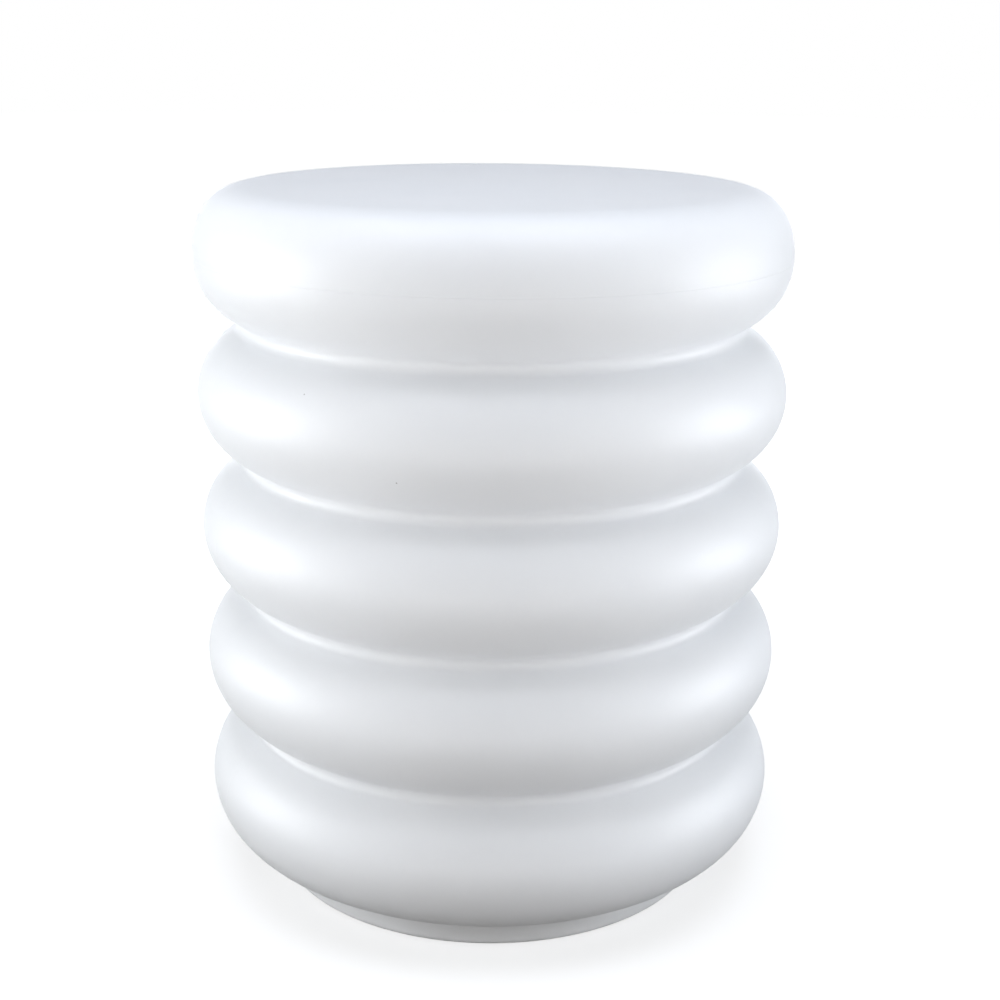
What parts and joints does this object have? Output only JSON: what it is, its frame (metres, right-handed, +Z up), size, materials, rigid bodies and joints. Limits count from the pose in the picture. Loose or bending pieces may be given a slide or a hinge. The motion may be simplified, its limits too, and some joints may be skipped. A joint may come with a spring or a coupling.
{
  "type": "light-up stool",
  "caption": "Round hollow stool of stacked rounded rings on a foot collar, with a sealed rechargeable lamp unit screwed into the underside, a push button and a stoppered charging port.",
  "frame": {"origin": "on the floor, under the middle of the seat", "axes": "+Z up through the middle of the seat, -Y towards the front, where the picture looks from, +X to the right of the front view"},
  "size_m": [0.36, 0.36, 0.4315],
  "materials": {
    "body_plastic": "satin moulded polyethylene, faintly translucent",
    "lamp_plastic": "fine moulded texture",
    "black_rubber": "matt",
    "screw_steel": "zinc plated",
    "brass": "machined",
    "frosted_plastic": "frosted",
    "aluminium": "rolled plate",
    "board_white": "solder mask",
    "led_package": "moulded package with a phosphor face",
    "dark_lens": "dark infrared filter resin",
    "board_green": "solder mask",
    "dark_resin": "moulded",
    "ferrite": "sintered",
    "connector_nylon": "moulded nylon",
    "black_plastic": "satin",
    "grey_rubber": "matt",
    "spring_steel": "drawn wire",
    "clear_plastic": "clear",
    "cell_sleeve": "shrunk sleeve",
    "nickel": "bright strip",
    "red_jacket": "extruded jacket",
    "black_jacket": "extruded jacket",
    "white_jacket": "extruded jacket"
  },
  "bodies": {
    "stool": {"shell": "body_plastic", "lamp_tub": "lamp_plastic", "flange_gasket": "black_rubber", "flange_screw_1": "screw_steel", "flange_screw_2": "screw_steel", "flange_screw_3": "screw_steel", "flange_screw_4": "screw_steel", "flange_screw_5": "screw_steel", "flange_screw_6": "screw_steel", "thread_insert_1": "brass", "thread_insert_2": "brass", "thread_insert_3": "brass", "thread_insert_4": "brass", "thread_insert_5": "brass", "thread_insert_6": "brass", "diffuser_dome": "frosted_plastic", "dome_seal": "black_rubber", "led_carrier": "aluminium", "carrier_screw_1": "screw_steel", "carrier_screw_2": "screw_steel", "carrier_screw_3": "screw_steel", "led_board": "board_white", "led_1": "led_package", "led_2": "led_package", "led_3": "led_package", "led_4": "led_package", "led_5": "led_package", "led_6": "led_package", "led_7": "led_package", "led_8": "led_package", "ir_receiver": "dark_lens", "control_board": "board_green", "board_screw_1": "screw_steel", "board_screw_2": "screw_steel", "microcontroller": "dark_resin", "inductor": "ferrite", "battery_connector": "connector_nylon", "led_connector": "connector_nylon", "charge_jack": "black_plastic", "port_plug_anchor": "grey_rubber", "switch_body": "black_plastic", "button_spring": "spring_steel", "indicator_lens": "clear_plastic", "indicator_led": "clear_plastic", "battery_cell_1": "cell_sleeve", "battery_cell_2": "cell_sleeve", "battery_cell_3": "cell_sleeve", "battery_holder": "black_plastic", "nickel_strip_1": "nickel", "nickel_strip_2": "nickel", "battery_strap": "black_plastic", "strap_screw_1": "screw_steel", "strap_screw_2": "screw_steel", "battery_lead_positive": "red_jacket", "battery_lead_negative": "black_jacket", "led_lead": "white_jacket"},
    "button": {"power_button": "lamp_plastic", "switch_plunger": "connector_nylon"},
    "stopper": {"port_plug": "grey_rubber"}
  },
  "joints": [
    {"name": "button_press", "type": "slide", "parent": "stool", "child": "button", "axis": [0, 0, 1], "range_m": [0, 0.0012], "stiffness_N_per_m": 1200, "deforming": ["button_spring"]},
    {"name": "stopper_swing", "type": "hinge", "parent": "stool", "child": "stopper", "pos_m": [-0.0254, -0.0379, 0.0201], "axis": [0, 1, 0], "range_deg": [0, 110]}
  ]
}
